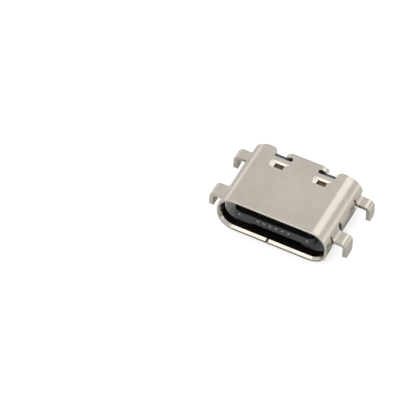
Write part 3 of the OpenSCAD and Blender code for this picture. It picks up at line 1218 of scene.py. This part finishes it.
@dataclass
class WingSeats:
    """Plastic under the flap's curled wings, which closes the housing's hollows to the rear."""

    seat: tuple[Corner, ...] = (
        (1.02, 1.05, 0.0), (1.52, 1.05, 0.0), (1.52, 1.2, 0.12), (1.02, 1.2, 0.0)
    )
    seat_span: tuple[float, float] = (5.46, 5.92)
    cheek: tuple[Corner, ...] = (
        (1.38, 1.05, 0.0), (1.9, 1.05, 0.0), (1.9, 1.283, 0.0), (1.38, 1.283, 0.1)
    )
    cheek_span: tuple[float, float] = (5.44, 5.79)
    sill: tuple[Corner, ...] = (
        (1.53, 1.05, 0.0), (1.78, 1.05, 0.0), (1.78, 1.27, 0.0), (1.53, 1.11, 0.0)
    )
    edge_r: float = 0.015
    edge_facets: int = 2

    def prism(
        self, bm: bmesh.types.BMesh, corners: Sequence[Corner], span: tuple[float, float]
    ) -> None:
        """Adds a bar along y with the given section.

        Args:
            bm: Mesh that it is added to.
            corners: Places x and z of the section's corners, each with its radius.
            span: Front and rear end.
        """
        bar = Blank(0.0)
        made = bmesh.ops.edgenet_fill(bar.bm, edges=bar.outline(corners))
        grown = bmesh.ops.extrude_face_region(bar.bm, geom=made["faces"], use_keep_orig=True)
        moved = [g for g in grown["geom"] if isinstance(g, bmesh.types.BMVert)]
        bmesh.ops.translate(bar.bm, verts=moved, vec=(0.0, 0.0, span[0] - span[1]))
        turn = Matrix.Rotation(math.pi / 2, 3, "X")
        bmesh.ops.rotate(bar.bm, cent=(0.0, 0.0, 0.0), matrix=turn, verts=bar.bm.verts)
        bmesh.ops.translate(bar.bm, verts=bar.bm.verts, vec=(0.0, span[0], 0.0))
        bmesh.ops.recalc_face_normals(bar.bm, faces=bar.bm.faces)
        round_edges(bar.bm, sheared_edges(bar.bm), self.edge_r, self.edge_facets)
        mesh = bpy.data.meshes.new("bar")
        bar.bm.to_mesh(mesh)
        bar.bm.free()
        bm.from_mesh(mesh)
        bpy.data.meshes.remove(mesh)

    def build(self, finish: bpy.types.Material) -> bpy.types.Object:
        """Builds the seats of both sides as one piece.

        Args:
            finish: Their finish.

        Returns:
            The finished piece.
        """
        bm = bmesh.new()
        self.prism(bm, self.seat, self.seat_span)
        self.prism(bm, self.sill, self.seat_span)
        self.prism(bm, self.cheek, self.cheek_span)
        geom = bm.verts[:] + bm.edges[:] + bm.faces[:]
        bmesh.ops.mirror(bm, geom=geom, axis="X", merge_dist=0.0)
        bmesh.ops.recalc_face_normals(bm, faces=bm.faces)
        piece = to_object("wing_seats", bm, [finish])
        finish_piece(piece, [])
        return piece


# --- studio ---


@dataclass(frozen=True)
class Lamp:
    """Soft rectangular lamp that faces the socket, with its lengths in metres."""

    name: str
    toward: tuple[float, float, float]
    size: tuple[float, float]
    radiance: float
    away: float = 0.4
    colour: tuple[float, float, float] = (1.0, 0.98, 0.94)

    def build(self) -> None:
        """Hangs the lamp."""
        data = bpy.data.lights.new(self.name, "AREA")
        data.shape = "RECTANGLE"
        data.size, data.size_y = self.size
        data.energy = self.radiance * math.pi * self.size[0] * self.size[1]
        data.color = self.colour
        lamp = bpy.data.objects.new(self.name, data)
        direction = Vector(self.toward).normalized()
        turn = direction.to_track_quat("Z", "Y").to_matrix().to_4x4()
        lamp.matrix_world = Matrix.Translation(direction * self.away) @ turn
        bpy.context.scene.collection.objects.link(lamp)


@dataclass
class Studio:
    """Floor, soft lamps, white surroundings and the camera.

    The clip range and the floor's own lengths are metres.
    """

    azimuth: float = 24.95
    elevation: float = 49.5
    roll: float = 2.4
    distance: float = 330.0
    view_width: float = 29.2398
    # where the camera aims, to the right of the origin and above it
    aim: tuple[float, float] = (-5.2047, 2.2734)
    sensor: float = 36.0
    clip: tuple[float, float] = (0.02, 20.0)
    wall_top: tuple[float, float] = (0.1, 0.36)
    ceiling: tuple[float, float, float] = (0.62, 0.615, 0.61)
    floor_gap: float = 0.00002
    floor_half: float = 1.5
    floor_cells: int = 8
    lamps: tuple[Lamp, ...] = (
        Lamp("rear_right", (0.18, 0.589, 0.79), (0.24, 0.24), 0.5),
        Lamp("front", (-0.27, -0.6, 0.75), (0.34, 0.3), 0.85),
    )

    def axes(self) -> Matrix:
        """Works out how the camera is turned.

        Returns:
            A matrix whose columns are its right, up and back directions.
        """
        az, el, roll = (math.radians(a) for a in (self.azimuth, self.elevation, self.roll))
        right = Vector((math.cos(az), math.sin(az), 0.0))
        back = Vector(
            (math.sin(az) * math.cos(el), -math.cos(az) * math.cos(el), math.sin(el))
        )
        up = back.cross(right)
        turned = right * math.cos(roll) + up * math.sin(roll)
        upright = up * math.cos(roll) - right * math.sin(roll)
        return Matrix((turned, upright, back)).transposed()

    def camera(self) -> None:
        """Places the camera."""
        data = bpy.data.cameras.new("camera")
        data.sensor_width = self.sensor
        data.lens = self.sensor * self.distance / self.view_width
        data.clip_start, data.clip_end = self.clip
        camera = bpy.data.objects.new("camera", data)
        axes = self.axes()
        place = axes @ Vector((*self.aim, self.distance))
        camera.matrix_world = Matrix.Translation(place * MM) @ axes.to_4x4()
        bpy.context.scene.collection.objects.link(camera)
        bpy.context.scene.camera = camera

    def surroundings(self) -> None:
        """Surrounds the scene with white walls under a greyer ceiling."""
        world = bpy.data.worlds.new("surroundings")
        bpy.context.scene.world = world
        world.use_nodes = True
        tree = world.node_tree
        background = next(n for n in tree.nodes if n.type == "BACKGROUND")
        place = tree.nodes.new("ShaderNodeTexCoord")
        split = tree.nodes.new("ShaderNodeSeparateXYZ")
        tree.links.new(place.outputs["Generated"], split.inputs[0])
        ramp = tree.nodes.new("ShaderNodeValToRGB")
        wall, ceiling = ramp.color_ramp.elements
        wall.position, ceiling.position = self.wall_top
        wall.color = (1.0, 1.0, 1.0, 1.0)
        ceiling.color = (*self.ceiling, 1.0)
        tree.links.new(split.outputs["Z"], ramp.inputs["Fac"])
        tree.links.new(ramp.outputs["Color"], background.inputs["Color"])

    def floor(self, height: float) -> None:
        """Lays the floor.

        Args:
            height: Height of the floor in metres.
        """
        bm = bmesh.new()
        bmesh.ops.create_grid(
            bm, x_segments=self.floor_cells, y_segments=self.floor_cells, size=self.floor_half
        )
        bmesh.ops.translate(bm, verts=bm.verts, vec=(0.0, 0.0, height))
        mesh = bpy.data.meshes.new("floor")
        bm.to_mesh(mesh)
        bm.free()
        mesh.materials.append(StudioFloor().material())
        floor = bpy.data.objects.new("floor", mesh)
        bpy.context.scene.collection.objects.link(floor)
        floor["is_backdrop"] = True

    def build(self, floor_z: float) -> None:
        """Sets up the whole studio.

        Args:
            floor_z: Height of the socket's lowest point in metres.
        """
        bpy.context.scene.view_settings.view_transform = "Standard"
        self.camera()
        self.floor(floor_z - self.floor_gap)
        self.surroundings()
        for lamp in self.lamps:
            lamp.build()


def dress_nodes(finishes: dict[str, bpy.types.Material]) -> None:
    """Gives each CAD node that stays its finish.

    Args:
        finishes: Material by the beginning of the node's name.
    """
    for name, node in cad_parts.items():
        for start, material in finishes.items():
            if name.startswith(start):
                node.data.materials.clear()
                node.data.materials.append(material)
                indices = [0] * len(node.data.polygons)
                node.data.polygons.foreach_set("material_index", indices)


def corners_of(box: tuple[Vector, Vector]) -> list[list[float]]:
    """Turns a box into plain lists."""
    return [list(corner) for corner in box]


def main() -> None:
    """Builds the pieces in order."""
    logging.basicConfig(level=logging.INFO, format="%(name)s: %(message)s")
    solid_box = corners_of(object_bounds())
    nickel = PlatedSteel().material()
    # the bore's plating is a dark copy of the nickel, painted shade
    bore = PlatedSteel(name="bore_shade_nickel", colour=(0.06, 0.052, 0.045), roughness=(0.4, 0.5))
    plastic = MouldedPlastic().material()
    gold = PlatedBrass().material()
    Studio().build(solid_box[0][2])
    Sleeve().build(nickel, bore.material())
    # the lances' plating is a darker copy of the nickel, painted shade
    lances = PlatedSteel(name="shaded_nickel", colour=(0.14, 0.1, 0.078), roughness=(0.35, 0.5))
    Lances().build(lances.material())
    WingSeats().build(plastic)
    dress_nodes({
        "housing": plastic, "upper_insert": plastic, "lower_insert": plastic,
        "mid_plate": nickel, "contact": gold,
    })


if __name__ == "__main__":
    main()
